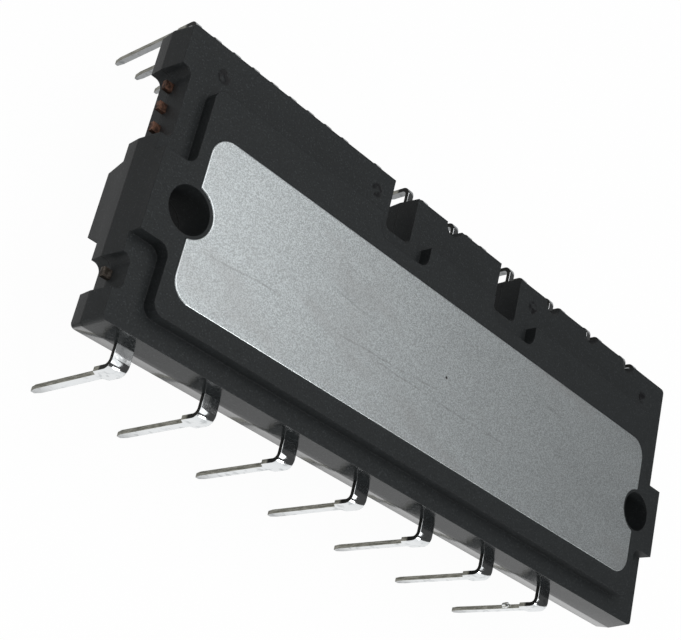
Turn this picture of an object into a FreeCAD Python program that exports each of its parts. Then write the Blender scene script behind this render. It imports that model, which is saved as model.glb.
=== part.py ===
import FreeCAD, Part
import math
import os
import Sketcher
from FreeCAD import Vector

doc = FreeCAD.newDocument("power_module")

# Driving sizes, in millimetres and degrees.
# X runs along the body, Y from the power leads to the control leads, Z out of the heat plate.
# The origin lies between the lead tips, under the middle of the body.
SIZES = {
    # Moulded body
    "body_length": (79.4, "length at the parting line"),
    "body_width": (31.0, "width at the parting line"),
    "body_draft": (5.0, "draft of the outer walls, degrees"),
    "body_round": (0.5, "rounding of the upright corners"),
    "parting_rise": (12.6, "parting line above the lead tips"),
    "shelf_rise": (2.83, "shelf above the parting line"),
    "centre_rise": (1.52, "raised centre above the shelf"),
    "rim_drop": (1.65, "underside of the rim below the parting line"),
    "belly_drop": (1.85, "underside of the belly below the rim"),
    "belly_slant": (23.0, "slant of the belly walls, degrees"),
    "centre_length": (72.08, "length of the raised centre"),
    "centre_power_reach": (13.1, "raised centre from the middle towards the power leads"),
    "centre_control_reach": (10.0, "raised centre from the middle towards the control leads"),
    "centre_round": (1.2, "corners of the raised centre"),
    "tab_width": (8.3, "tabs that carry the raised centre to the end faces"),
    "tab_round": (1.15, "inside corners beside the tabs"),
    # Screw holes
    "hole_line": (2.7, "hole line from the middle towards the power leads"),
    "hole_spacing": (70.6, "between the two screw holes"),
    "hole_width": (4.6, "screw hole diameter"),
    # Creepage notches between the control leads
    "big_notch_width": (3.7, "wide notches"),
    "big_notch_inset": (5.85, "wide notches in from the wall"),
    "big_notch_round": (0.7, "inner corners of the wide notches"),
    "small_notch_width": (2.4, "narrow notches"),
    "small_notch_inset": (1.45, "narrow notches in from the wall"),
    "small_notch_round": (1.1, "inner corners of the narrow notches"),
    "notch_1_shift": (-0.15, "first notch beside its lead gap's middle"),
    "notch_2_shift": (0.04, "second notch beside its lead gap's middle"),
    "notch_3_shift": (-0.1, "third notch beside its lead gap's middle"),
    "notch_4_shift": (0.26, "fourth notch beside its lead gap's middle"),
    "notch_5_shift": (0.34, "fifth notch beside its lead gap's middle"),
    "notch_6_shift": (0.5, "sixth notch beside its lead gap's middle"),
    "pit_width": (2.2, "mould pin pits in the raised centre"),
    "pit_inset": (1.3, "pit centres in from the raised centre's edge"),
    "pit_shift": (2.9, "pit centres beside the wide notches"),
    "pit_depth": (1.5, "depth of the pits"),
    # Recesses in the left end face
    "recess_round": (0.8, "corners of the end recesses"),
    "high_recess_place": (7.11, "middle of the control side recess"),
    "high_recess_width": (7.54, "width of the control side recess"),
    "high_recess_depth": (1.44, "depth of the control side recess"),
    "low_recess_place": (10.475, "middle of the power side recess, towards the power leads"),
    "low_recess_width": (3.41, "width of the power side recess"),
    "low_recess_depth": (1.2, "depth of the power side recess"),
    # Heat plate and insulation
    "plate_length": (69.74, "heat plate length"),
    "plate_width": (16.76, "heat plate width"),
    "plate_shift": (0.12, "plate's middle off the hole line, towards the control leads"),
    "plate_thick": (1.2, "heat plate thickness"),
    "plate_proud": (0.15, "heat plate above the raised centre"),
    "plate_round": (2.2, "heat plate corners"),
    "bite_margin": (0.3, "bites in the plate's ends wider than the screw holes, all round"),
    "sheet_thick": (0.2, "insulation sheet thickness"),
    "sheet_margin": (0.3, "insulation sheet inside the plate's outline"),
    # Lead frame
    "frame_thick": (0.5, "stamped frame thickness"),
    "lead_overhang": (2.27, "outer face of the legs from the body wall"),
    "bend_round": (0.5, "inner radius of the lead bends"),
    "ramp_run": (2.4, "length of the ramps up to the die pads"),
    "pad_margin": (1.0, "die pads inside the plate's outline"),
    "pad_gap": (1.0, "between the supply pad and the phase pads"),
    "pad_lap": (0.5, "ramps overlapping their pads"),
    "supply_pad_length": (63.0, "supply pad along X"),
    "supply_pad_depth": (6.0, "supply pad along Y"),
    "phase_pad_length": (15.0, "phase pads along X"),
    "bond_pad_length": (3.0, "bond pads of the return leads along X"),
    "bond_pad_depth": (2.0, "bond pads of the return leads along Y"),
    "bond_pad_inset": (2.4, "bond pads in from the body wall"),
    # Power leads
    "power_pitch": (10.16, "power lead pitch"),
    "power_first": (35.0, "first power lead left of the middle"),
    "power_root": (1.89, "power lead width at the body"),
    "power_leg": (0.87, "power leg width"),
    "power_tip": (0.45, "power leg width at the tip"),
    "power_shoulder": (2.5, "shoulder below the top of the power leads"),
    # Control leads
    "control_pitch": (2.54, "control lead pitch"),
    "control_first": (37.5, "first control lead left of the middle"),
    "control_root": (0.8, "control lead width at the body"),
    "control_leg": (0.6, "control leg width"),
    "control_tip": (0.35, "control leg width at the tip"),
    "control_shoulder": (2.9, "shoulder below the top of the control leads"),
    "control_inset": (6.2, "inner end of the control leads in from the body wall"),
    "shoulder_run": (0.35, "height of the slanted shoulders"),
    "tip_run": (0.9, "height of the tapered tips"),
    # Island of the driver chips, and the cut tie bars
    "island_length": (70.0, "driver island along X"),
    "island_depth": (2.4, "driver island along Y"),
    "island_inset": (7.7, "driver island's middle in from the body wall"),
    "tie_width": (0.9, "tie bar width"),
    "tie_proud": (0.84, "tie bar ends out of the recess wall"),
    "tie_length": (2.6, "tie bars from cut end to anchor"),
    "anchor_length": (0.8, "anchors at the inner ends of the tie bars"),
    "anchor_width": (1.6, "anchor width"),
    "tie_upper_place": (9.54, "first tie bar"),
    "tie_middle_place": (7.29, "second tie bar, which carries the driver island"),
    "tie_inner_place": (4.99, "third tie bar"),
    "tie_lower_place": (10.14, "fourth tie bar, towards the power leads"),
    # Chips, solder and bond wires
    "transistor_side": (5.0, "transistor die side"),
    "diode_side": (4.0, "diode die side"),
    "chip_thick": (0.25, "chip thickness"),
    "chip_spacing": (7.5, "between a transistor and its diode"),
    "chip_margin": (0.6, "low side dies inside their pad's edge"),
    "solder_thick": (0.1, "die solder thickness"),
    "solder_margin": (0.2, "solder wider than the die, all round"),
    "driver_length": (4.6, "driver chips along X"),
    "driver_depth": (1.8, "driver chips along Y"),
    "driver_first": (27.0, "first driver chip left of the middle"),
    "driver_pitch": (19.6, "driver chip pitch"),
    "power_wire": (0.3, "power wire diameter"),
    "power_wire_gap": (1.4, "between two wires on one transistor"),
    "power_loop": (1.1, "drop of the power wire loops"),
    "signal_wire": (0.1, "signal wire diameter"),
    "signal_loop": (0.6, "drop of the signal wire loops"),
    "foot_inset": (1.0, "power wire feet in from the edge of their pad"),
    "signal_foot": (0.25, "signal wire feet in from the inner ends of the leads"),
    "gate_inset": (0.5, "gates in from the transistors' edge"),
}

sheet = doc.addObject("Spreadsheet::Sheet", "Sizes")
for row, (alias, (number, note)) in enumerate(SIZES.items(), start=1):
    sheet.set(f"A{row}", note)
    sheet.set(f"B{row}", str(number))
    sheet.setAlias(f"B{row}", alias)
doc.recompute()

# Levels and places that follow from the driving sizes, as expressions
LEAD_LOW = "Sizes.parting_rise"
LEAD_TOP = "(Sizes.parting_rise + Sizes.frame_thick)"
SHELF = "(Sizes.parting_rise + Sizes.shelf_rise)"
CENTRE_TOP = f"({SHELF} + Sizes.centre_rise)"
RIM_LOW = "(Sizes.parting_rise - Sizes.rim_drop)"
PLATE_TOP = f"({CENTRE_TOP} + Sizes.plate_proud)"
PLATE_LOW = f"({PLATE_TOP} - Sizes.plate_thick)"
PAD_TOP = f"({PLATE_LOW} - Sizes.sheet_thick)"
PAD_LOW = f"({PAD_TOP} - Sizes.frame_thick)"
CHIP_TOP = f"({PAD_LOW} - Sizes.solder_thick)"
CHIP_LOW = f"({CHIP_TOP} - Sizes.chip_thick)"
DRIVER_LOW = f"({LEAD_LOW} - Sizes.chip_thick)"

WALL = "(Sizes.body_width / 2)"
END_WALL = "(Sizes.body_length / 2)"
LEG_OUT = f"({WALL} + Sizes.lead_overhang)"
LEG_IN = f"({LEG_OUT} - Sizes.frame_thick)"
OUTER_BEND = "(Sizes.bend_round + Sizes.frame_thick)"
HOLE_PLACE = "(Sizes.hole_spacing / 2)"
SHELF_END = f"({END_WALL} - Sizes.shelf_rise * tan(Sizes.body_draft))"
RIM_END = f"({END_WALL} - Sizes.rim_drop * tan(Sizes.body_draft))"
BELLY_INSET = "(Sizes.belly_drop * tan(Sizes.belly_slant))"

PLATE_MIDDLE = "(Sizes.plate_shift - Sizes.hole_line)"
PLATE_POWER_EDGE = f"({PLATE_MIDDLE} - Sizes.plate_width / 2)"
PLATE_CONTROL_EDGE = f"({PLATE_MIDDLE} + Sizes.plate_width / 2)"
PHASE_PAD_LOW = f"({PLATE_POWER_EDGE} + Sizes.pad_margin)"
SUPPLY_PAD_HIGH = f"({PLATE_CONTROL_EDGE} - Sizes.pad_margin)"
SUPPLY_PAD_LOW = f"({SUPPLY_PAD_HIGH} - Sizes.supply_pad_depth)"
PHASE_PAD_HIGH = f"({SUPPLY_PAD_LOW} - Sizes.pad_gap)"
RAMP_FOOT = f"({PHASE_PAD_LOW} - Sizes.ramp_run)"
BOND_PAD_HIGH = f"(Sizes.bond_pad_inset + Sizes.bond_pad_depth - {WALL})"
BOND_PAD_LOW = f"(Sizes.bond_pad_inset - {WALL})"

HIGH_CHIP_PLACE = f"({SUPPLY_PAD_HIGH} - Sizes.supply_pad_depth / 2)"
LOW_CHIP_PLACE = f"({PHASE_PAD_LOW} + Sizes.chip_margin + Sizes.transistor_side / 2)"

# Steps of the lead grids
POWER_LEADS = ["w_return", "w", "v_return", "v", "u_return", "u", "supply"]
PHASES = {"w": 1, "v": 3, "u": 5}
CONTROL_STEPS = [0, 1, 2, 3, 4, 5, 6, 7, 8, 10, 12, 13, 15, 16, 17, 19, 20, 22, 23, 25, 26, 28, 29]
BIG_NOTCH_STEPS = {11: 1, 18: 3}
SMALL_NOTCH_STEPS = {14: 2, 21: 4, 24: 5, 27: 6}
DRIVER_COUNT = 4


def amount(expression):
    """Number that an expression on the sheet gives."""
    return float(sheet.evalExpression(expression))


def negative(expression):
    return f"-({expression})"


def new_body(label):
    body = doc.addObject("PartDesign::Body", label)
    body.Label = label
    return body


def new_sketch(body, role, name, level="0"):
    """Sketch on one of the body's own origin planes, raised to a level along its normal."""
    sketch = body.newObject("Sketcher::SketchObject", name)
    plane = [item for item in body.Origin.OriginFeatures if item.Role == role][0]
    sketch.AttachmentSupport = [(plane, "")]
    sketch.MapMode = "FlatFace"
    if level != "0":
        sketch.setExpression("AttachmentOffset.Base.z", level)
    return sketch


def hold(sketch, kind, items, expression):
    """Dimension on a sketch, bound to an expression."""
    index = sketch.addConstraint(Sketcher.Constraint(kind, *items, amount(expression)))
    sketch.setExpression(f"Constraints[{index}]", expression)


def outline(sketch, corners):
    """Closed outline; a corner is (x, y) or (x, y, radius), each an expression.

    A rounded corner lies between a level and an upright side.
    """
    count = len(corners)
    points = [Vector(amount(corner[0]), amount(corner[1]), 0) for corner in corners]
    radii = [amount(corner[2]) if len(corner) > 2 else 0 for corner in corners]
    first = sketch.GeometryCount
    lines = []
    for i in range(count):
        start, end = points[i], points[(i + 1) % count]
        along = (end - start).normalize()
        line = Part.LineSegment(start + along * radii[i], end - along * radii[(i + 1) % count])
        lines.append(sketch.addGeometry(line))
    for i in range(count):
        before, after = lines[i - 1], lines[i]
        if not radii[i]:
            sketch.addConstraint(Sketcher.Constraint("Coincident", before, 2, after, 1))
            hold(sketch, "DistanceX", (after, 1), corners[i][0])
            hold(sketch, "DistanceY", (after, 1), corners[i][1])
            continue
        incoming = (points[i] - points[i - 1]).normalize()
        outgoing = (points[(i + 1) % count] - points[i]).normalize()
        centre = points[i] + (outgoing - incoming) * radii[i]
        turns_left = incoming.cross(outgoing).z > 0
        ends = [-incoming * radii[i] - (outgoing - incoming) * radii[i],
                outgoing * radii[i] - (outgoing - incoming) * radii[i]]
        angles = [math.atan2(end.y, end.x) for end in ends]
        start, end = angles if turns_left else reversed(angles)
        if end < start:
            end = end + 2 * math.pi
        circle = Part.Circle(centre, Vector(0, 0, 1), radii[i])
        arc = sketch.addGeometry(Part.ArcOfCircle(circle, start, end))
        sketch.addConstraint(Sketcher.Constraint("Tangent", before, 2, arc, 1 if turns_left else 2))
        sketch.addConstraint(Sketcher.Constraint("Tangent", arc, 2 if turns_left else 1, after, 1))
        hold(sketch, "Radius", (arc,), corners[i][2])
    for i in range(count):
        here, there = i, (i + 1) % count
        if not radii[here] and not radii[there]:
            continue
        level = abs(points[here].y - points[there].y) < 1e-6
        sketch.addConstraint(Sketcher.Constraint("Horizontal" if level else "Vertical", lines[i]))
        if radii[here] and radii[there]:
            axis, place = ("DistanceY", corners[i][1]) if level else ("DistanceX", corners[i][0])
            hold(sketch, axis, (lines[i], 1), place)


def rectangle(sketch, low_x, high_x, low_y, high_y, radius=None):
    corners = [(low_x, low_y), (high_x, low_y), (high_x, high_y), (low_x, high_y)]
    if radius:
        corners = [corner + (radius,) for corner in corners]
    outline(sketch, corners)


def circle(sketch, place_x, place_y, diameter):
    centre = Vector(amount(place_x), amount(place_y), 0)
    ring = sketch.addGeometry(Part.Circle(centre, Vector(0, 0, 1), amount(diameter) / 2))
    hold(sketch, "DistanceX", (ring, 3), place_x)
    hold(sketch, "DistanceY", (ring, 3), place_y)
    hold(sketch, "Diameter", (ring,), diameter)


def pad(body, sketch, name, length, down=False, both=False, draft=None):
    feature = body.newObject("PartDesign::Pad", name)
    feature.Profile = sketch
    feature.setExpression("Length", length)
    feature.Reversed = down
    feature.Midplane = both
    if draft:
        feature.setExpression("TaperAngle", negative(draft))
    doc.recompute()
    return feature


def pocket(body, sketch, name, length, both=False):
    """Cut that has to take something off the body."""
    before = body.Shape.Volume
    feature = body.newObject("PartDesign::Pocket", name)
    feature.Profile = sketch
    feature.setExpression("Length", length)
    feature.Midplane = both
    doc.recompute()
    if not feature.Shape.Volume < before - 1e-4:
        raise RuntimeError(f"{name} cuts nothing")
    return feature


def fillet(body, feature, name, edges, radius):
    rounding = body.newObject("PartDesign::Fillet", name)
    rounding.Base = (feature, edges)
    rounding.setExpression("Radius", radius)
    doc.recompute()
    return rounding


def upright_edges(feature, place_x, place_y, low, high):
    """Near-upright edges within half a millimetre of the mirrored places, between two levels."""
    names = []
    for number, edge in enumerate(feature.Shape.Edges, start=1):
        box = edge.BoundBox
        stands = box.ZLength > 3 * max(box.XLength, box.YLength)
        near = abs(abs(box.Center.x) - place_x) < 0.5 and abs(abs(box.Center.y) - place_y) < 0.5
        between = box.ZMin > low - 0.01 and box.ZMax < high + 0.01
        if stands and near and between:
            names.append(f"Edge{number}")
    return names


def power_place(step):
    return f"({step} * Sizes.power_pitch - Sizes.power_first)"


def control_place(step):
    return f"({step} * Sizes.control_pitch - Sizes.control_first)"


def notch_place(step, number):
    return f"({control_place(step)} + Sizes.notch_{number}_shift)"


# Outer form of the moulded body
form = new_body("mold_form")

upper = new_sketch(form, "XY_Plane", "upper_outline", LEAD_LOW)
rectangle(upper, negative(END_WALL), END_WALL, negative(WALL), WALL)
pad(form, upper, "upper_half", "Sizes.shelf_rise", draft="Sizes.body_draft")
lower = new_sketch(form, "XY_Plane", "lower_outline", LEAD_LOW)
rectangle(lower, negative(END_WALL), END_WALL, negative(WALL), WALL)
halves = pad(form, lower, "lower_half", "Sizes.rim_drop", down=True, draft="Sizes.body_draft")
corner_edges = upright_edges(halves, amount(END_WALL), amount(WALL), amount(RIM_LOW), amount(SHELF))
fillet(form, halves, "corner_rounds", corner_edges, "Sizes.body_round")

TAB_LOW = "(-Sizes.hole_line - Sizes.tab_width / 2)"
TAB_HIGH = "(Sizes.tab_width / 2 - Sizes.hole_line)"
CENTRE_END = "(Sizes.centre_length / 2)"
centre = new_sketch(form, "XY_Plane", "centre_outline", SHELF)
outline(centre, [
    (negative(CENTRE_END), "-Sizes.centre_power_reach", "Sizes.centre_round"),
    (CENTRE_END, "-Sizes.centre_power_reach", "Sizes.centre_round"),
    (CENTRE_END, TAB_LOW, "Sizes.tab_round"),
    (SHELF_END, TAB_LOW),
    (SHELF_END, TAB_HIGH),
    (CENTRE_END, TAB_HIGH, "Sizes.tab_round"),
    (CENTRE_END, "Sizes.centre_control_reach", "Sizes.centre_round"),
    (negative(CENTRE_END), "Sizes.centre_control_reach", "Sizes.centre_round"),
    (negative(CENTRE_END), TAB_HIGH, "Sizes.tab_round"),
    (negative(SHELF_END), TAB_HIGH),
    (negative(SHELF_END), TAB_LOW),
    (negative(CENTRE_END), TAB_LOW, "Sizes.tab_round"),
])
pad(form, centre, "raised_centre", "Sizes.centre_rise")

belly = new_sketch(form, "XY_Plane", "belly_outline", RIM_LOW)
rectangle(belly, negative(CENTRE_END), CENTRE_END, "-Sizes.centre_power_reach", "Sizes.centre_control_reach")
pad(form, belly, "belly", "Sizes.belly_drop", down=True, draft="Sizes.belly_slant")
keel = new_sketch(form, "YZ_Plane", "belly_tab_section")
outline(keel, [
    (TAB_LOW, RIM_LOW),
    (f"{TAB_LOW} + {BELLY_INSET}", f"{RIM_LOW} - Sizes.belly_drop"),
    (f"{TAB_HIGH} - {BELLY_INSET}", f"{RIM_LOW} - Sizes.belly_drop"),
    (TAB_HIGH, RIM_LOW),
])
pad(form, keel, "belly_tabs", f"2 * {RIM_END}", both=True)

# Screw holes, notches, recesses and pits
THROUGH = f"({CENTRE_TOP} - {RIM_LOW} + Sizes.belly_drop + Sizes.plate_proud)"
holes = new_sketch(form, "XY_Plane", "hole_outlines", CENTRE_TOP)
circle(holes, negative(HOLE_PLACE), "-Sizes.hole_line", "Sizes.hole_width")
circle(holes, HOLE_PLACE, "-Sizes.hole_line", "Sizes.hole_width")
pocket(form, holes, "screw_holes", THROUGH)


def notch(sketch, middle, width, inset, radius):
    """U shape from inside the body to beyond its wall."""
    low = f"{middle} - {width} / 2"
    high = f"{middle} + {width} / 2"
    outside = f"{WALL} + Sizes.lead_overhang"
    inside = f"{WALL} - {inset}"
    outline(sketch, [(low, outside), (low, inside, radius), (high, inside, radius), (high, outside)])


big = new_sketch(form, "XY_Plane", "big_notch_outlines", CENTRE_TOP)
pits = new_sketch(form, "XY_Plane", "pit_outlines", CENTRE_TOP)
for step, number in BIG_NOTCH_STEPS.items():
    place = notch_place(step, number)
    notch(big, place, "Sizes.big_notch_width", "Sizes.big_notch_inset", "Sizes.big_notch_round")
    pit_y = "Sizes.centre_control_reach - Sizes.pit_inset"
    circle(pits, f"{place} + Sizes.pit_shift", pit_y, "Sizes.pit_width")
pocket(form, big, "big_notches", THROUGH)
pocket(form, pits, "mould_pin_pits", "Sizes.pit_depth")

small = new_sketch(form, "XY_Plane", "small_notch_outlines", CENTRE_TOP)
for step, number in SMALL_NOTCH_STEPS.items():
    place = notch_place(step, number)
    notch(small, place, "Sizes.small_notch_width", "Sizes.small_notch_inset", "Sizes.small_notch_round")
pocket(form, small, "small_notches", THROUGH)


def end_recess(sketch, middle, width, depth):
    """U shape from inside the left end to beyond its face."""
    low = f"{middle} - {width} / 2"
    high = f"{middle} + {width} / 2"
    outside = f"-{END_WALL} - Sizes.recess_round"
    inside = f"{depth} - {END_WALL}"
    radius = "Sizes.recess_round"
    outline(sketch, [(outside, low), (inside, low, radius), (inside, high, radius), (outside, high)])


recesses = new_sketch(form, "XY_Plane", "recess_outlines", CENTRE_TOP)
end_recess(recesses, "Sizes.high_recess_place", "Sizes.high_recess_width", "Sizes.high_recess_depth")
end_recess(recesses, "-Sizes.low_recess_place", "Sizes.low_recess_width", "Sizes.low_recess_depth")
pocket(form, recesses, "end_recesses", THROUGH)


# Heat plate, with its corners rounded and its ends bitten by the screw holes
def bites(body):
    sketch = new_sketch(body, "XY_Plane", f"{body.Name}_bite_outlines", PLATE_TOP)
    diameter = "Sizes.hole_width + 2 * Sizes.bite_margin"
    circle(sketch, negative(HOLE_PLACE), "-Sizes.hole_line", diameter)
    circle(sketch, HOLE_PLACE, "-Sizes.hole_line", diameter)
    pocket(body, sketch, f"{body.Name}_bites", "Sizes.plate_thick + Sizes.sheet_thick")


def flat_piece(label, low, thickness, margin):
    body = new_body(label)
    sketch = new_sketch(body, "XY_Plane", f"{label}_outline", low)
    half_length = f"(Sizes.plate_length / 2 - {margin})"
    rectangle(sketch, negative(half_length), half_length, f"{PLATE_POWER_EDGE} + {margin}",
              f"{PLATE_CONTROL_EDGE} - {margin}", f"Sizes.plate_round - {margin}")
    pad(body, sketch, f"{label}_blank", thickness)
    bites(body)
    return body


plate = flat_piece("heat_plate", PLATE_LOW, "Sizes.plate_thick", "0")
insulation = flat_piece("insulation_sheet", PAD_TOP, "Sizes.sheet_thick", "Sizes.sheet_margin")


# Leads
def slim_leg(body, root, leg, tip, shoulder):
    """Takes the leg down to its slim width below a shoulder, and tapers its tip."""
    slack = "Sizes.frame_thick"
    top = f"{LEAD_TOP} - {shoulder}"
    sketch = new_sketch(body, "XZ_Plane", f"{body.Name}_leg_waste")
    for side in ("", "-"):
        outline(sketch, [
            (f"{side}({root} / 2 + {slack})", f"-{slack}"),
            (f"{side}({root} / 2 + {slack})", top),
            (f"{side}({root} / 2)", top),
            (f"{side}({leg} / 2)", f"{top} - Sizes.shoulder_run"),
            (f"{side}({leg} / 2)", "Sizes.tip_run"),
            (f"{side}({tip} / 2)", "0"),
            (f"{side}({tip} / 2)", f"-{slack}"),
        ])
    pocket(body, sketch, f"{body.Name}_slim", f"2 * ({LEG_OUT} + {slack})", both=True)


def formed_strip(body, section, width):
    sketch = new_sketch(body, "YZ_Plane", f"{body.Name}_section")
    outline(sketch, section)
    pad(body, sketch, f"{body.Name}_strip", width, both=True)


def frame_pad(body, name, level, low_x, high_x, low_y, high_y):
    sketch = new_sketch(body, "XY_Plane", f"{body.Name}_{name}_outline", level)
    rectangle(sketch, low_x, high_x, low_y, high_y)
    pad(body, sketch, f"{body.Name}_{name}", "Sizes.frame_thick")


def power_lead(name, step):
    body = new_body(f"power_lead_{name}")
    outer_leg = [(negative(LEG_OUT), "0"), (negative(LEG_OUT), LEAD_TOP, OUTER_BEND)]
    inner_leg = [(negative(LEG_IN), LEAD_LOW, "Sizes.bend_round"), (negative(LEG_IN), "0")]
    if name.endswith("return"):
        section = [(BOND_PAD_HIGH, LEAD_TOP), (BOND_PAD_HIGH, LEAD_LOW)]
    else:
        head = f"({PHASE_PAD_LOW} + Sizes.pad_lap)"
        section = [(RAMP_FOOT, LEAD_TOP), (PHASE_PAD_LOW, PAD_TOP), (head, PAD_TOP),
                   (head, PAD_LOW), (PHASE_PAD_LOW, PAD_LOW), (RAMP_FOOT, LEAD_LOW)]
    formed_strip(body, outer_leg + section + inner_leg, "Sizes.power_root")
    if name.endswith("return"):
        half = "(Sizes.bond_pad_length / 2)"
        frame_pad(body, "bond_pad", LEAD_LOW, negative(half), half, BOND_PAD_LOW, BOND_PAD_HIGH)
    elif name == "supply":
        half = "(Sizes.power_root / 2)"
        frame_pad(body, "stem", PAD_LOW, negative(half), half, PHASE_PAD_LOW, SUPPLY_PAD_HIGH)
        reach = "(Sizes.supply_pad_length / 2)"
        place = power_place(step)
        frame_pad(body, "die_pad", PAD_LOW, f"-{reach} - {place}", f"{reach} - {place}",
                  SUPPLY_PAD_LOW, SUPPLY_PAD_HIGH)
    else:
        half = "(Sizes.phase_pad_length / 2)"
        frame_pad(body, "die_pad", PAD_LOW, negative(half), half, PHASE_PAD_LOW, PHASE_PAD_HIGH)
    slim_leg(body, "Sizes.power_root", "Sizes.power_leg", "Sizes.power_tip", "Sizes.power_shoulder")
    body.setExpression("Placement.Base.x", power_place(step))
    return body


def control_lead(number, step):
    body = new_body(f"control_lead_{number:02d}")
    inner_end = f"({WALL} - Sizes.control_inset)"
    formed_strip(body, [
        (LEG_OUT, "0"),
        (LEG_OUT, LEAD_TOP, OUTER_BEND),
        (inner_end, LEAD_TOP),
        (inner_end, LEAD_LOW),
        (LEG_IN, LEAD_LOW, "Sizes.bend_round"),
        (LEG_IN, "0"),
    ], "Sizes.control_root")
    slim_leg(body, "Sizes.control_root", "Sizes.control_leg", "Sizes.control_tip",
             "Sizes.control_shoulder")
    body.setExpression("Placement.Base.x", control_place(step))
    return body


power_leads = [power_lead(name, step) for step, name in enumerate(POWER_LEADS)]
control_leads = [control_lead(number, step) for number, step in enumerate(CONTROL_STEPS, start=1)]

# Cut tie bars in the end recesses
HIGH_CUT = f"(Sizes.high_recess_depth - {END_WALL} - Sizes.tie_proud)"
LOW_CUT = f"(Sizes.low_recess_depth - {END_WALL} - Sizes.tie_proud)"


def tie_bar(name, cut, middle):
    body = new_body(f"tie_bar_{name}")
    inner = f"({cut} + Sizes.tie_length)"
    frame_pad(body, "bar", LEAD_LOW, cut, inner, f"{middle} - Sizes.tie_width / 2",
              f"{middle} + Sizes.tie_width / 2")
    frame_pad(body, "anchor", LEAD_LOW, f"{inner} - Sizes.anchor_length", inner,
              f"{middle} - Sizes.anchor_width / 2", f"{middle} + Sizes.anchor_width / 2")
    return body


tie_bars = [
    tie_bar("upper", HIGH_CUT, "Sizes.tie_upper_place"),
    tie_bar("inner", HIGH_CUT, "Sizes.tie_inner_place"),
    tie_bar("lower", LOW_CUT, "-Sizes.tie_lower_place"),
]

# Island of the driver chips, on the middle tie bar
ISLAND_PLACE = f"({WALL} - Sizes.island_inset)"
ISLAND_LOW = f"({ISLAND_PLACE} - Sizes.island_depth / 2)"
ISLAND_HIGH = f"({ISLAND_PLACE} + Sizes.island_depth / 2)"
ISLAND_START = f"({HIGH_CUT} + Sizes.tie_length + Sizes.anchor_length)"
island = new_body("driver_island")
frame_pad(island, "bar", LEAD_LOW, HIGH_CUT, f"{ISLAND_START} + Sizes.anchor_length",
          "Sizes.tie_middle_place - Sizes.tie_width / 2", "Sizes.tie_middle_place + Sizes.tie_width / 2")
frame_pad(island, "plate", LEAD_LOW, ISLAND_START, f"{ISLAND_START} + Sizes.island_length",
          ISLAND_LOW, ISLAND_HIGH)


# Chips and their solder
def block(label, length, depth, height, place):
    """Box with its middle at place x and y and its low face at place z."""
    box = doc.addObject("Part::Box", label)
    box.Label = label
    box.setExpression("Length", length)
    box.setExpression("Width", depth)
    box.setExpression("Height", height)
    box.setExpression("Placement.Base.x", f"{place[0]} - ({length}) / 2")
    box.setExpression("Placement.Base.y", f"{place[1]} - ({depth}) / 2")
    box.setExpression("Placement.Base.z", place[2])
    return box


def transistor_x(step):
    return f"({power_place(step)} - Sizes.chip_spacing / 2)"


def diode_x(step):
    return f"({power_place(step)} + Sizes.chip_spacing / 2)"


chips = []
joints = []
SIDES = {"high": HIGH_CHIP_PLACE, "low": LOW_CHIP_PLACE}
for phase, step in PHASES.items():
    for side, chip_y in SIDES.items():
        for kind, chip_x in (("transistor", transistor_x(step)), ("diode", diode_x(step))):
            chip_side = f"Sizes.{kind}_side"
            chips.append(block(f"{kind}_{side}_{phase}", chip_side, chip_side, "Sizes.chip_thick",
                               (chip_x, chip_y, CHIP_LOW)))
            joint_side = f"{chip_side} + 2 * Sizes.solder_margin"
            joints.append(block(f"joint_{kind}_{side}_{phase}", joint_side, joint_side,
                                "Sizes.solder_thick", (chip_x, chip_y, CHIP_TOP)))
solder = doc.addObject("Part::Compound", "die_solder")
solder.Label = "die_solder"
solder.Links = joints


def driver_x(number):
    return f"({number} * Sizes.driver_pitch - Sizes.driver_first)"


drivers = []
for number in range(DRIVER_COUNT):
    drivers.append(block(f"driver_chip_{number + 1}", "Sizes.driver_length", "Sizes.driver_depth",
                         "Sizes.chip_thick", (driver_x(number), ISLAND_PLACE, DRIVER_LOW)))
doc.recompute()


# Bond wires, six-sided: a leg down from each foot, and a straight span between the legs
def wire_loop(start, end, drop, diameter):
    """Solid of one bond wire between two feet on surfaces that look down."""
    low = min(start.z, end.z) - drop
    points = [start, Vector(start.x, start.y, low), Vector(end.x, end.y, low), end]
    spine = Part.makePolygon(points)
    turns = [math.radians(60 * corner) for corner in range(7)]
    ring = Part.makePolygon([start + Vector(math.cos(turn), math.sin(turn), 0) * diameter / 2
                             for turn in turns])
    pipe = Part.BRepOffsetAPI.MakePipeShell(spine)
    pipe.setTransitionMode(1)
    pipe.add(ring)
    pipe.build()
    pipe.makeSolid()
    return pipe.shape()


def wire_group(label, loops):
    feature = doc.addObject("Part::Feature", label)
    feature.Label = label
    feature.Shape = Part.makeCompound(loops)
    return feature


def spot(place_x, place_y, level):
    return Vector(amount(place_x), amount(place_y), amount(level))


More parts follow.
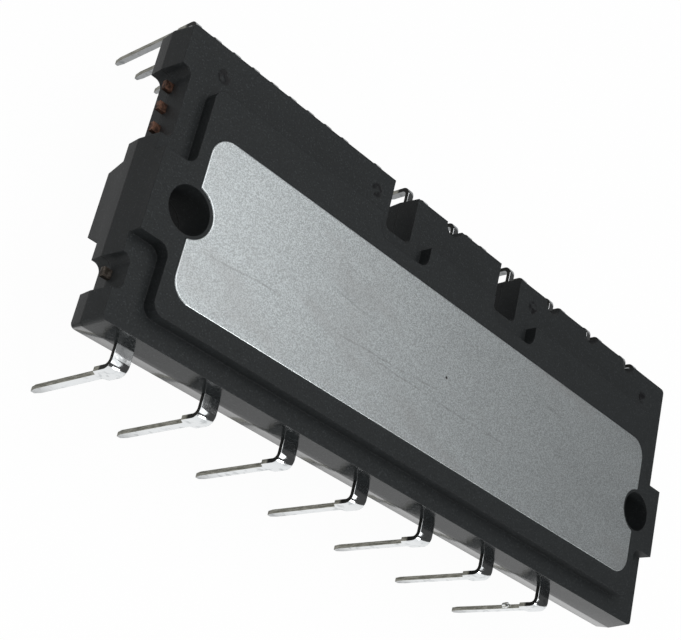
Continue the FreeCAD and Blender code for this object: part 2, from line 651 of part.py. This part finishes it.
power_loops = []
wire_gap = "Sizes.power_wire_gap / 2"
for phase, step in PHASES.items():
    landing_y = f"{PHASE_PAD_HIGH} - Sizes.foot_inset"
    return_y = f"{BOND_PAD_HIGH} - Sizes.foot_inset"
    feet = []
    for shift in (f"+ {wire_gap}", f"- {wire_gap}"):
        emitter_x = f"{transistor_x(step)} {shift}"
        return_x = f"{power_place(step - 1)} {shift}"
        feet.append((spot(emitter_x, HIGH_CHIP_PLACE, CHIP_LOW), spot(emitter_x, landing_y, PAD_LOW)))
        feet.append((spot(emitter_x, LOW_CHIP_PLACE, CHIP_LOW), spot(return_x, return_y, LEAD_LOW)))
    anode = diode_x(step)
    feet.append((spot(anode, HIGH_CHIP_PLACE, CHIP_LOW), spot(anode, landing_y, PAD_LOW)))
    stitch_y = f"{LOW_CHIP_PLACE} + Sizes.foot_inset"
    feet.append((spot(anode, stitch_y, CHIP_LOW), spot(transistor_x(step), stitch_y, CHIP_LOW)))
    for start, end in feet:
        power_loops.append(wire_loop(start, end, amount("Sizes.power_loop"), amount("Sizes.power_wire")))
power_wires = wire_group("power_wires", power_loops)

signal_loops = []
signal_drop = amount("Sizes.signal_loop")
signal_size = amount("Sizes.signal_wire")
driver_places = [amount(driver_x(number)) for number in range(DRIVER_COUNT)]
chip_reach = amount("Sizes.driver_length") / 2 - signal_size
for step in CONTROL_STEPS:
    foot = spot(control_place(step), f"{WALL} - Sizes.control_inset + Sizes.signal_foot", LEAD_LOW)
    nearest = min(driver_places, key=lambda middle: abs(middle - foot.x))
    slide = max(-chip_reach, min(chip_reach, (foot.x - nearest) / 4))
    chip_foot = spot("0", f"{ISLAND_PLACE} + Sizes.driver_depth / 4", DRIVER_LOW)
    chip_foot.x = nearest + slide
    signal_loops.append(wire_loop(foot, chip_foot, signal_drop, signal_size))
for number, step in enumerate(PHASES.values()):
    for side, shift in (("high", f"- {wire_gap}"), ("low", f"+ {wire_gap}")):
        gate_y = f"{SIDES[side]} + Sizes.transistor_side / 2 - Sizes.gate_inset"
        gate = spot(f"{transistor_x(step)} {shift}", gate_y, CHIP_LOW)
        chip_y = f"{ISLAND_PLACE} - Sizes.driver_depth / 4"
        chip_foot = spot(f"{driver_x(number)} {shift}", chip_y, DRIVER_LOW)
        signal_loops.append(wire_loop(gate, chip_foot, signal_drop, signal_size))
signal_wires = wire_group("signal_wires", signal_loops)

# The moulding compound fills the form around everything that it holds
inserts = doc.addObject("Part::MultiFuse", "inserts")
inserts.Shapes = [plate, insulation, island, solder, power_wires, signal_wires]
inserts.Shapes = inserts.Shapes + power_leads + control_leads + tie_bars + chips + drivers
inserts.Refine = False
mold = doc.addObject("Part::Cut", "mold_body")
mold.Label = "mold_body"
mold.Base = form
mold.Tool = inserts
mold.Refine = False
doc.recompute()

pieces = [mold, plate, insulation] + power_leads + control_leads + [island] + tie_bars
pieces = pieces + chips + [solder] + drivers + [power_wires, signal_wires]

for item in doc.Objects:
    if "Invalid" in item.State or "Error" in item.State:
        raise RuntimeError(f"{item.Label} is not valid: {item.State}")
for piece in pieces:
    if piece.Shape.isNull() or not piece.Shape.isValid():
        raise RuntimeError(f"{piece.Label} has no valid shape")

os.makedirs("parts", exist_ok=True)
for piece in pieces:
    piece.Shape.exportStep(f"parts/{piece.Label}.step")
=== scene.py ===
import math

import bmesh
import bpy
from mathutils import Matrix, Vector


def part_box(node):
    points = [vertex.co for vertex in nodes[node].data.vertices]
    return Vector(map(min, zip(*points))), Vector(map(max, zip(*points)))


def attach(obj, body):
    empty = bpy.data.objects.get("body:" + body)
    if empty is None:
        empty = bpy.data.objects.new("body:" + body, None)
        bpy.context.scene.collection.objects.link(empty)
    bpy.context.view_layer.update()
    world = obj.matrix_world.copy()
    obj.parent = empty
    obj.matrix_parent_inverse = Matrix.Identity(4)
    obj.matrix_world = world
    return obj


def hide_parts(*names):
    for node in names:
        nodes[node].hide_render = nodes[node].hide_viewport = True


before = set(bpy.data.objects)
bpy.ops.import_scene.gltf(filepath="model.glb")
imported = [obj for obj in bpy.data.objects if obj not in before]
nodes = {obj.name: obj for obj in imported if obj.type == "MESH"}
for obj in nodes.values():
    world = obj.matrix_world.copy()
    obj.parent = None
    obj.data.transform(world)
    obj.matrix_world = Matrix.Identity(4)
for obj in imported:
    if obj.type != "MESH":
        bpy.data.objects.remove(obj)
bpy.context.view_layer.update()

MM = 0.001
BODY = "root"

# How shapes are joined and shaded; the distances are in millimetres
WELD = 0.001
TOUCH = 0.01
FLAT_TURN = math.radians(1)
SHARP_TURN = math.radians(24)
LARGE_FACES_FIRST = 100

# Levels and places on the module, in millimetres
PARTING_LINE = 12.6
SHELF = 15.43
CENTRE_TOP = 16.95
POLISHED_WALL = -14.5
END_FACE = -38.6
WALL_BLUR = 0.5
EJECTOR_SPOTS = [(-34.8, 12.4), (-13.7, 12.8), (12.7, 13.0), (35.2, 12.4)]
EJECTOR_RADIUS = 0.9
EJECTOR_BLUR = 0.3

# Round pits of the moulding, and the bays that stand in their place, in millimetres
PITS = (-6.81, 11.02)
PIT_LINE = 8.7
PIT_RADIUS = 1.12
PIT_MARGIN = 0.1
BAYS = (-9.69, 8.47)
BAY_WIDTH = 7.4
BAY_INNER = 7.43
BAY_OUTER = 10.4
BAY_ROUND = 1.3
BAY_TALL = 2.5

# Heat plate, in millimetres
PLATE_EDGE = 0.13
LONG_SCRATCHES = [
    ((-10.0, -5.2), (11.4, -5.1)),
    ((-10.0, -4.7), (-0.4, -4.0)),
    ((-33.0, -5.6), (-23.5, -4.8)),
    ((-15.8, -5.0), (-10.0, -4.6)),
]
SCRATCH_WIDTH = 0.13
SCRATCH_SWAY = 0.6
SPECK = (-0.2, -2.2)
SPECK_RADIUS = 0.2

# Leads, and the burr on the supply lead, in millimetres
LEAD_EDGE = 0.05
SUPPLY_LEAD_X = 25.96
POWER_LEG = 0.87
FRAME_THICK = 0.5
LEG_TOP = 11.6
LEG_SHADE = 0.4
BURR_LEVEL = 8.3
BURR_SIZE = 1.15
BURR_WIDE = 0.55
BURR_DEEP = 0.6
BURR_LUMPS = 0.35
BURR_SINK = 0.75

# Studio, in metres
PAPER_GLOW = 0.97
PAPER_TONE = 0.9
NEAR_SIDE = -0.02
NEAR_SIDE_BLUR = 0.003
# Painted shade on the floor behind the module, seen only in reflections
FAR_SIDE_PAINTED_SHADE = 0.7
FAR_SIDE_SHADE_TONE = 0.25
FLOOR_RADIUS = 3.0
BACKDROP_HEIGHT = 0.9
AIR = 0.06

# Camera, from the photograph: its place in metres and its turns in degrees
PICTURE_WIDTH = 681
PICTURE_HEIGHT = 640
FOCAL_PIXELS = 1458.5
AXIS_PIXEL = (374.9, 413.5)
SENSOR_WIDTH = 36.0
CAMERA_PLACE = (-0.09664, -0.06346, 0.11314)
CAMERA_TURNS = (10.137, -46.084, 17.288)
CAMERA_NEAREST = 0.01


class Value:
    """Output of a shader node; sums with numbers or other outputs add their Math nodes."""

    def __init__(self, tree, output):
        self.tree = tree
        self.output = output

    def node(self, kind, settings=None, sockets=None, out=0):
        """Any node: its settings first, then the values or links of its sockets."""
        made = self.tree.nodes.new(kind)
        for name, setting in (settings or {}).items():
            setattr(made, name, setting)
        for key, value in (sockets or {}).items():
            feed(self.tree, made.inputs[key], value)
        return Value(self.tree, made.outputs[out])

    def math(self, operation, *others):
        """Math node of this value and the others."""
        sockets = dict(enumerate((self,) + others))
        return self.node("ShaderNodeMath", {"operation": operation}, sockets)

    def __add__(self, other):
        return self.math("ADD", other)

    def __mul__(self, other):
        return self.math("MULTIPLY", other)

    def __sub__(self, other):
        return self.math("SUBTRACT", other)

    def __rsub__(self, other):
        return self.math("MULTIPLY", -1.0) + other

    __radd__ = __add__
    __rmul__ = __mul__

    def rise(self, low, high):
        """0 below low, 1 above high, smooth between; falls where low is above high."""
        if low > high:
            return 1 - self.rise(high, low)
        settings = {"interpolation_type": "SMOOTHSTEP"}
        return self.node("ShaderNodeMapRange", settings, {0: self, 1: low, 2: high})

    def near(self, level, inner, outer):
        """1 within inner of a level, 0 beyond outer, smooth between."""
        return (self - level).math("ABSOLUTE").rise(outer, inner)

    def blend(self, first, second):
        """Colour that goes from first to second by this mask."""
        sockets = {0: self, 6: first, 7: second}
        return self.node("ShaderNodeMix", {"data_type": "RGBA"}, sockets, out=2)

    def noise(self, scale, detail=2.0, rough=0.5):
        """Noise on this vector, about 0 to 1."""
        sockets = {"Vector": self, "Scale": scale, "Detail": detail, "Roughness": rough}
        return self.node("ShaderNodeTexNoise", {}, sockets)

    def stretched(self, turn, scale):
        """This vector turned about the upright, in degrees, and scaled along each axis."""
        rotation = (0.0, 0.0, math.radians(turn))
        turned = self.node("ShaderNodeMapping", {}, {"Vector": self, "Rotation": rotation})
        return turned.node("ShaderNodeMapping", {}, {"Vector": turned, "Scale": scale})

    def part(self, axis):
        """One coordinate of this vector."""
        return self.node("ShaderNodeSeparateXYZ", {}, {0: self}, "XYZ".index(axis))

    def distance(self, spot):
        """Distance from a spot of the module, seen from above."""
        return reach(self.part("X") - spot[0], self.part("Y") - spot[1])


class Finish:
    """Material whose pattern lies on object coordinates, in millimetres."""

    def __init__(self, name):
        self.material = bpy.data.materials.new(name)
        self.material.use_nodes = True
        self.tree = self.material.node_tree
        self.shader = self.tree.nodes["Principled BSDF"]
        start = Value(self.tree, None)
        place = start.node("ShaderNodeTexCoord", out="Object")
        sockets = {"Vector": place, "Scale": (1 / MM,) * 3}
        self.place = place.node("ShaderNodeMapping", {}, sockets)

    def give(self, **sockets):
        """Sets the shader's sockets, by their names with _ for a space."""
        for name, value in sockets.items():
            feed(self.tree, self.shader.inputs[name.replace("_", " ")], value)
        return self.material

    def facing(self, axis):
        """Size of one part of the surface's own direction, 0 to 1."""
        normal = self.place.node("ShaderNodeNewGeometry", out="True Normal")
        return normal.part(axis).math("ABSOLUTE")

    def square_to(self, axis):
        """1 where the surface faces along an axis, 0 where it slants away."""
        return self.facing(axis).rise(0.8, 0.95)

    def relief(self, height, depth, edge=0.0):
        """Normal from a height field; edge rounds the sharp edges for the light."""
        sockets = {"Height": height, "Distance": depth * MM, "Strength": 1.0}
        if edge:
            rounding = {"Radius": edge * MM}
            sockets["Normal"] = height.node("ShaderNodeBevel", {"samples": 6}, rounding)
        return height.node("ShaderNodeBump", {}, sockets)


def feed(tree, socket, value):
    """Links an output to a socket, or sets the socket to a constant."""
    if isinstance(value, Value):
        tree.links.new(value.output, socket)
    else:
        socket.default_value = value


def reach(x, y):
    """Length of a flat offset."""
    return (x * x + y * y).math("SQRT")


def highest(masks):
    """Highest of several masks at each point."""
    top, *others = masks
    for mask in others:
        top = top.math("MAXIMUM", mask)
    return top


def paint(red, green, blue):
    """Opaque colour."""
    return (red, green, blue, 1.0)


def grey(level):
    """Opaque grey."""
    return paint(level, level, level)


def line_mask(place, start, end):
    """1 on a line between two points of the plate, that sways a little and fades sideways."""
    along = Vector(end) - Vector(start)
    sway = (place.noise(scale=0.2, detail=1.0) - 0.5) * SCRATCH_SWAY
    x = place.part("X") - start[0]
    y = place.part("Y") - start[1] + sway
    share = (x * along.x + y * along.y) * (1 / along.length_squared)
    share = share.math("MAXIMUM", 0.0).math("MINIMUM", 1.0)
    off_line = reach(x - share * along.x, y - share * along.y)
    return off_line.rise(SCRATCH_WIDTH, SCRATCH_WIDTH / 3)


def mould_skin():
    """Black filled epoxy with a fine grain, dark ejector marks and its parting line."""
    finish = Finish("black_epoxy")
    place = finish.place
    height = place.part("Z")
    grain = place.noise(scale=5.0, detail=3.0, rough=0.6)
    clouds = place.noise(scale=0.25)
    filler = place.noise(scale=6.0, detail=0.0).rise(0.66, 0.76)

    marks = highest([place.distance(spot).rise(EJECTOR_RADIUS, EJECTOR_RADIUS - EJECTOR_BLUR)
                     for spot in EJECTOR_SPOTS])
    worn = place.noise(scale=1.6, detail=1.0).rise(0.32, 0.52)
    marks = marks * height.near(SHELF, inner=0.1, outer=0.2) * worn
    seam = height.near(PARTING_LINE, inner=0.03, outer=0.09)

    colour = grain.rise(0.3, 0.75).blend(paint(0.012, 0.014, 0.015), paint(0.021, 0.024, 0.025))
    colour = filler.blend(colour, paint(0.03, 0.034, 0.036))
    colour = (marks * 0.9 + seam * 0.5).blend(colour, paint(0.002, 0.002, 0.003))

    near_wall = place.part("Y").rise(POLISHED_WALL + WALL_BLUR, POLISHED_WALL)
    polished = finish.square_to("Y") * near_wall
    left_end = place.part("X").rise(END_FACE + WALL_BLUR, END_FACE)
    end_face = finish.square_to("X") * left_end
    below = height.rise(PARTING_LINE + 0.05, PARTING_LINE - 0.05)
    gloss = (polished + end_face * 0.4) * below

    rough = grain * 0.2 + clouds * 0.1 + 0.4 - polished * 0.43 - marks * 0.15
    bumps = grain * 0.9 + filler * 0.3 - marks * 3.0 - seam * 2.5
    relief = finish.relief(bumps, depth=0.01, edge=0.13)
    return finish.give(Base_Color=colour, Roughness=rough, Normal=relief, Coat_Weight=gloss,
                       Coat_Roughness=0.06, Coat_IOR=1.8, Specular_IOR_Level=0.27)


def plate_face():
    """Silver plate with a dull fine grain, long faint scratches and wiped smudges."""
    finish = Finish("dull_silver_plate")
    place = finish.place
    grain = place.noise(scale=8.5, detail=1.0, rough=0.7)
    wiped = place.stretched(turn=8.0, scale=(0.05, 0.14, 0.1))
    smudge = wiped.noise(scale=1.0, detail=3.0, rough=0.6)
    brushed = place.stretched(turn=5.0, scale=(0.035, 3.2, 1.0))
    fine = brushed.noise(scale=1.0).rise(0.66, 0.74)
    deep = highest([line_mask(place, start, end) for start, end in LONG_SCRATCHES])
    deep = deep * place.noise(scale=0.6).rise(0.3, 0.6)
    edge = finish.facing("Z").rise(0.96, 0.85)
    speck = place.distance(SPECK).rise(SPECK_RADIUS, SPECK_RADIUS / 2)

    colour = grain.rise(0.3, 0.7).blend(paint(0.48, 0.515, 0.525), paint(0.82, 0.87, 0.885))
    colour = (smudge.rise(0.48, 0.7) * 0.4).blend(colour, grey(0.47))
    colour = (deep * 0.35).blend(colour, paint(0.3, 0.31, 0.32))
    colour = speck.blend(colour, grey(0.05))

    rough = (grain * 0.1 + smudge * 0.08 - fine * 0.06 + 0.32) * (1 - edge * 0.4)
    relief = finish.relief(grain - fine * 0.4 - deep * 0.5, depth=0.006)
    return finish.give(Base_Color=colour, Metallic=1.0, Roughness=rough, Normal=relief)


def tin_coat():
    """Bright tin over copper, slightly uneven, and dull on the sheared sides, with painted shade
    on those sides near the body.
    """
    finish = Finish("bright_tin")
    place = finish.place
    waves = place.noise(scale=0.7, detail=0.0)
    drawn = place.stretched(turn=0.0, scale=(3.0, 0.5, 0.5)).noise(scale=1.0, detail=0.0)
    dull = place.noise(scale=1.5, detail=1.0).rise(0.5, 0.75)
    sheared = finish.square_to("X")
    torn = place.stretched(turn=0.0, scale=(1.0, 6.0, 0.9)).noise(scale=1.0, detail=3.0, rough=0.6)
    painted_shade_near_body = place.part("Z").rise(LEG_TOP - LEG_SHADE, LEG_TOP)

    side = torn.rise(0.3, 0.7).blend(paint(0.24, 0.24, 0.2), paint(0.62, 0.61, 0.54))
    # Painted shade: the sheared sides are painted almost black near the body, where the leads
    # leave it
    side = painted_shade_near_body.blend(side, paint(0.03, 0.03, 0.028))
    colour = dull.blend(paint(0.76, 0.78, 0.79), paint(0.5, 0.52, 0.53))
    colour = sheared.blend(colour, side)

    rough = dull * 0.07 + drawn * 0.03 + 0.09 + sheared * 0.28
    relief = finish.relief(waves + drawn * 0.1, depth=0.02)
    return finish.give(Base_Color=colour, Metallic=1.0, Roughness=rough, Normal=relief)


def cut_copper(name, fresh, stained):
    """Bare cut copper in two tones, dulled by the mould."""
    finish = Finish(name)
    stain = finish.place.noise(scale=1.6, detail=3.0, rough=0.6)
    colour = stain.rise(0.38, 0.62).blend(fresh, stained)
    rough = stain * 0.3 + 0.35
    relief = finish.relief(finish.place.noise(scale=5.0), depth=0.01, edge=0.06)
    return finish.give(Base_Color=colour, Metallic=1.0, Roughness=rough, Normal=relief)


def hidden_finish(name, dark, pale, scale, metal, rough):
    """Finish of a piece inside the body: two tones in a fine grain."""
    finish = Finish(name)
    grain = finish.place.noise(scale)
    colour = grain.rise(0.35, 0.65).blend(dark, pale)
    rough = grain * 0.15 + rough
    relief = finish.relief(grain, depth=0.004)
    return finish.give(Base_Color=colour, Metallic=metal, Roughness=rough, Normal=relief)


def merged_copy(node):
    """Copy of a CAD node's mesh, and its shape with the loose triangles joined."""
    mesh = nodes[node].data.copy()
    shape = bmesh.new()
    shape.from_mesh(mesh)
    bmesh.ops.remove_doubles(shape, verts=shape.verts, dist=WELD * MM)
    return mesh, shape


def placed(name, mesh):
    """Object of a mesh, in the scene."""
    item = bpy.data.objects.new(name, mesh)
    bpy.context.scene.collection.objects.link(item)
    return item


def even_shading(piece, keep_sharp=False):
    """Shades a piece by its large faces."""
    even = piece.modifiers.new("even_shading", "WEIGHTED_NORMAL")
    even.weight = LARGE_FACES_FIRST
    even.keep_sharp = keep_sharp


def rounded_copy(node, edge, material):
    """Copy of a CAD node with its sharp edges rounded; it stands for the node."""
    mesh, shape = merged_copy(node)
    bmesh.ops.dissolve_limit(shape, angle_limit=FLAT_TURN, verts=shape.verts, edges=shape.edges)
    sharp = [e for e in shape.edges if e.is_manifold and e.calc_face_angle() > SHARP_TURN]
    bmesh.ops.bevel(shape, geom=sharp, offset=edge * MM, offset_type="OFFSET", affect="EDGES",
                    segments=2, profile=0.5, material=-1, clamp_overlap=True)
    for face in shape.faces:
        face.smooth = True
        face.material_index = 0
    shape.to_mesh(mesh)
    shape.free()
    mesh.materials.clear()
    mesh.materials.append(material)
    piece = placed(f"formed_{node}", mesh)
    even_shading(piece)
    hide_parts(node)
    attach(piece, BODY)


def plug_pits(shape):
    """Closes the two round pits of the moulded body flush with the raised centre."""
    low = (SHELF + TOUCH) * MM
    high = (CENTRE_TOP - PIT_MARGIN) * MM
    pit_faces = []
    for middle in PITS:
        pit = Vector((middle, PIT_LINE)) * MM
        for face in shape.faces:
            place = face.calc_center_median()
            if (place.xy - pit).length < PIT_RADIUS * MM and low < place.z < high:
                pit_faces.append(face)
    bmesh.ops.delete(shape, geom=pit_faces, context="FACES")
    rims = [edge for edge in shape.edges if edge.is_boundary]
    bmesh.ops.holes_fill(shape, edges=rims, sides=0)


def bay_cutter():
    """Blocks with two rounded corners, one over each wide notch, down to the shelf."""
    shape = bmesh.new()
    size = Vector((BAY_WIDTH, BAY_OUTER - BAY_INNER, BAY_TALL)) * MM
    for middle in BAYS:
        block = bmesh.ops.create_cube(shape, size=1.0)["verts"]
        place = Vector((middle, (BAY_OUTER + BAY_INNER) / 2, SHELF + BAY_TALL / 2)) * MM
        bmesh.ops.scale(shape, verts=block, vec=size)
        bmesh.ops.translate(shape, verts=block, vec=place)
    inner = [edge for edge in shape.edges
             if all(vert.co.y < (BAY_INNER + TOUCH) * MM for vert in edge.verts)
             and abs(edge.verts[0].co.z - edge.verts[1].co.z) > BAY_TALL / 2 * MM]
    bmesh.ops.bevel(shape, geom=inner, offset=BAY_ROUND * MM, offset_type="OFFSET",
                    affect="EDGES", segments=8, profile=0.5, material=-1)
    mesh = bpy.data.meshes.new("bay_cutter")
    shape.to_mesh(mesh)
    shape.free()
    return mesh


def bayed_mould(material):
    """Copy of the moulded body whose raised centre steps back round the wide notches."""
    mesh, shape = merged_copy("mold_body")
    plug_pits(shape)
    for face in shape.faces:
        face.material_index = 0
    shape.to_mesh(mesh)
    shape.free()
    piece = placed("bayed_mould", mesh)
    cutter = placed("bay_cutter", bay_cutter())
    cut = piece.modifiers.new("bays", "BOOLEAN")
    cut.operation = "DIFFERENCE"
    cut.solver = "EXACT"
    cut.object = cutter
    graph = bpy.context.evaluated_depsgraph_get()
    finished = bpy.data.meshes.new_from_object(piece.evaluated_get(graph))
    piece.modifiers.clear()
    bpy.data.objects.remove(cutter)

    # The shading of the uncut body doesn't fit the new faces
    finished.materials.clear()
    finished.materials.append(material)
    stale = [item for item in finished.attributes if item.name in ("custom_normal", "sharp_face")]
    for layer in stale:
        finished.attributes.remove(layer)
    finished.set_sharp_from_angle(angle=SHARP_TURN)
    piece.data = finished
    even_shading(piece, keep_sharp=True)
    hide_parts("mold_body")
    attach(piece, BODY)


def tin_burr(material):
    """Torn lump of tin on the sheared side of the supply lead."""
    outer_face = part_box("power_lead_supply")[0].y
    shape = bmesh.new()
    bmesh.ops.create_icosphere(shape, subdivisions=3, radius=BURR_SIZE * MM / 2)
    for vert in shape.verts:
        far = vert.co / MM
        swell = 1.0 + BURR_LUMPS * math.sin(7.0 * far.x + 3.0 * far.z) * math.cos(9.0 * far.y)
        vert.co = Vector((vert.co.x * BURR_WIDE, vert.co.y * BURR_DEEP, vert.co.z)) * swell
    leg_side = SUPPLY_LEAD_X - POWER_LEG / 2
    middle = outer_face + BURR_SINK * FRAME_THICK * MM
    bmesh.ops.translate(shape, verts=shape.verts, vec=(leg_side * MM, middle, BURR_LEVEL * MM))
    for face in shape.faces:
        face.smooth = True
    mesh = bpy.data.meshes.new("tin_burr")
    shape.to_mesh(mesh)
    shape.free()
    mesh.materials.append(material)
    burr = placed("tin_burr", mesh)
    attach(burr, BODY)


def paint_nodes(material, names):
    """Gives CAD nodes, which keep their shape, a material."""
    for name in names:
        data = nodes[name].data
        data.materials.clear()
        data.materials.append(material)


def starting(*heads):
    """Names of the CAD nodes that start with one of these words."""
    return [name for name in nodes if name.startswith(heads)]


def white_paper():
    """White for the camera, with painted shade on the floor behind the module in reflections, and
    a share of real shadow.
    """
    material = bpy.data.materials.new("white_paper")
    material.use_nodes = True
    tree = material.node_tree
    tree.nodes.clear()
    start = Value(tree, None)
    camera = start.node("ShaderNodeLightPath", out="Is Camera Ray")
    glossy = start.node("ShaderNodeLightPath", out="Is Glossy Ray")
    clear = start.node("ShaderNodeLightPath", out="Is Transmission Ray")
    place = start.node("ShaderNodeNewGeometry", out="Position").part("Y")
    # Painted shade: reflections see the floor behind the module darker and greyer than the lit
    # paper
    painted_shade_side = place.rise(NEAR_SIDE, NEAR_SIDE + NEAR_SIDE_BLUR)
    seen = highest([camera, clear, glossy * (1 - painted_shade_side * FAR_SIDE_PAINTED_SHADE)])
    white = start.node("ShaderNodeBsdfDiffuse", {}, {"Color": grey(PAPER_TONE)})
    painted_shade_paper = start.node("ShaderNodeBsdfDiffuse", {}, {"Color": grey(FAR_SIDE_SHADE_TONE)})
    paper = start.node("ShaderNodeMixShader", {}, {0: glossy * painted_shade_side, 1: white, 2: painted_shade_paper})
    glow = start.node("ShaderNodeEmission", {}, {"Color": grey(1.0), "Strength": 1.0})
    mixed = start.node("ShaderNodeMixShader", {}, {0: seen * PAPER_GLOW, 1: paper, 2: glow})
    end = tree.nodes.new("ShaderNodeOutputMaterial")
    tree.links.new(mixed.output, end.inputs["Surface"])
    return material


def studio_floor(material):
    """Round floor at the lead tips' level, with a low wall around it."""
    shape = bmesh.new()
    bmesh.ops.create_circle(shape, cap_ends=True, segments=64, radius=FLOOR_RADIUS)
    rim = [edge for edge in shape.edges if edge.is_boundary]
    wall = bmesh.ops.extrude_edge_only(shape, edges=rim)
    raised = [item for item in wall["geom"] if isinstance(item, bmesh.types.BMVert)]
    bmesh.ops.translate(shape, verts=raised, vec=(0.0, 0.0, BACKDROP_HEIGHT))
    mesh = bpy.data.meshes.new("studio_floor")
    shape.to_mesh(mesh)
    shape.free()
    mesh.materials.append(material)
    floor = placed("studio_floor", mesh)


def studio_air():
    """Dim grey all round, above the backdrop."""
    world = bpy.data.worlds.new("studio")
    bpy.context.scene.world = world
    world.use_nodes = True
    background = world.node_tree.nodes["Background"]
    background.inputs["Color"].default_value = grey(AIR)
    background.inputs["Strength"].default_value = 1.0


def soft_lamp(name, place, target, width, power):
    """Square soft lamp at a place in metres, turned to its target."""
    data = bpy.data.lights.new(name, "AREA")
    data.shape = "SQUARE"
    data.size = width
    data.energy = power
    lamp = placed(name, data)
    lamp.location = place
    turn = (Vector(target) - Vector(place)).to_track_quat("-Z", "Y")
    lamp.rotation_euler = turn.to_euler()


def photo_camera():
    """Camera that sees the module as the photograph does."""
    data = bpy.data.cameras.new("photo_camera")
    data.sensor_width = SENSOR_WIDTH
    data.lens = FOCAL_PIXELS * SENSOR_WIDTH / PICTURE_WIDTH
    data.shift_x = (PICTURE_WIDTH / 2 - AXIS_PIXEL[0]) / PICTURE_WIDTH
    data.shift_y = (AXIS_PIXEL[1] - PICTURE_HEIGHT / 2) / PICTURE_WIDTH
    data.clip_start = CAMERA_NEAREST
    camera = placed("photo_camera", data)
    camera.location = CAMERA_PLACE
    camera.rotation_euler = [math.radians(turn) for turn in CAMERA_TURNS]
    bpy.context.scene.camera = camera


# Body, plate and the cut copper ends in its recesses
bayed_mould(mould_skin())
rounded_copy("heat_plate", PLATE_EDGE, plate_face())
browned = cut_copper("browned_copper", paint(0.25, 0.135, 0.095), paint(0.06, 0.038, 0.03))
greyed = cut_copper("greyed_copper", paint(0.22, 0.19, 0.165), paint(0.06, 0.05, 0.04))
paint_nodes(browned, ["tie_bar_upper", "tie_bar_inner", "driver_island"])
paint_nodes(greyed, ["tie_bar_lower"])

# What the body holds
resin = hidden_finish("filled_resin", paint(0.5, 0.52, 0.46), paint(0.66, 0.67, 0.6),
                      scale=6.0, metal=0.0, rough=0.5)
silicon = hidden_finish("silicon", paint(0.06, 0.065, 0.08), paint(0.11, 0.115, 0.13),
                        scale=2.0, metal=0.6, rough=0.15)
solder = hidden_finish("grey_solder", paint(0.42, 0.42, 0.41), paint(0.6, 0.6, 0.59),
                       scale=4.0, metal=1.0, rough=0.35)
aluminium = hidden_finish("wire_aluminium", grey(0.75), grey(0.86),
                          scale=4.0, metal=1.0, rough=0.25)
gold = hidden_finish("wire_gold", paint(0.85, 0.6, 0.2), paint(0.95, 0.72, 0.3),
                     scale=4.0, metal=1.0, rough=0.2)
paint_nodes(resin, ["insulation_sheet"])
paint_nodes(silicon, starting("transistor", "diode", "driver_chip"))
paint_nodes(solder, ["die_solder"])
paint_nodes(aluminium, ["power_wires"])
paint_nodes(gold, ["signal_wires"])

# Leads with rolled edges
tin = tin_coat()
for lead in starting("power_lead", "control_lead"):
    rounded_copy(lead, LEAD_EDGE, tin)
tin_burr(tin)

# Studio: a wide lamp overhead and a small one low at the side of the power leads
studio_floor(white_paper())
studio_air()
soft_lamp("overhead_softbox", place=(-0.22, 0.1, 0.75), target=(-0.22, 0.1, 0.0),
          width=1.3, power=8.5)
soft_lamp("low_softbox", place=(0.25, -0.55, 0.25), target=(0.0, 0.0, 0.01),
          width=0.2, power=0.9)
photo_camera()
bpy.context.scene.view_settings.view_transform = "Standard"
